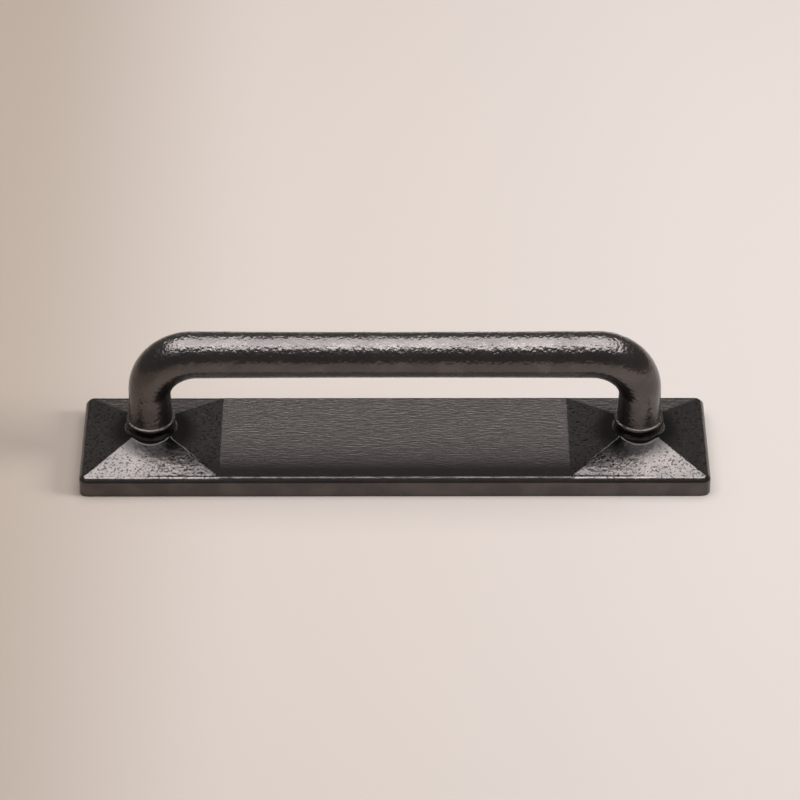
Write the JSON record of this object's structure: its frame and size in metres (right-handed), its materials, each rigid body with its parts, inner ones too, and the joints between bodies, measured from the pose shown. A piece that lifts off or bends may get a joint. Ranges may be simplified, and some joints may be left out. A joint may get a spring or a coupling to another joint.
{
  "type": "bar pull",
  "caption": "Drawer pull with a round bar on two collared legs, set on a rectangular cast backplate with a pyramid and round seat under each leg.",
  "frame": {"origin": "centre of the backplate's back face, which lies against the drawer front", "axes": "+X along the bar, +Y across the backplate, +Z away from the drawer front towards the grip"},
  "size_m": [0.1646, 0.0366, 0.0386],
  "materials": {
    "bar_casting": "cast, dressed smooth and darkened, with a soft sheen",
    "plate_casting": "sand cast and darkened, with a dimpled skin and a soft sheen"
  },
  "bodies": {
    "root": {"pull_bar": "bar_casting", "backplate": "plate_casting"}
  },
  "joints": []
}
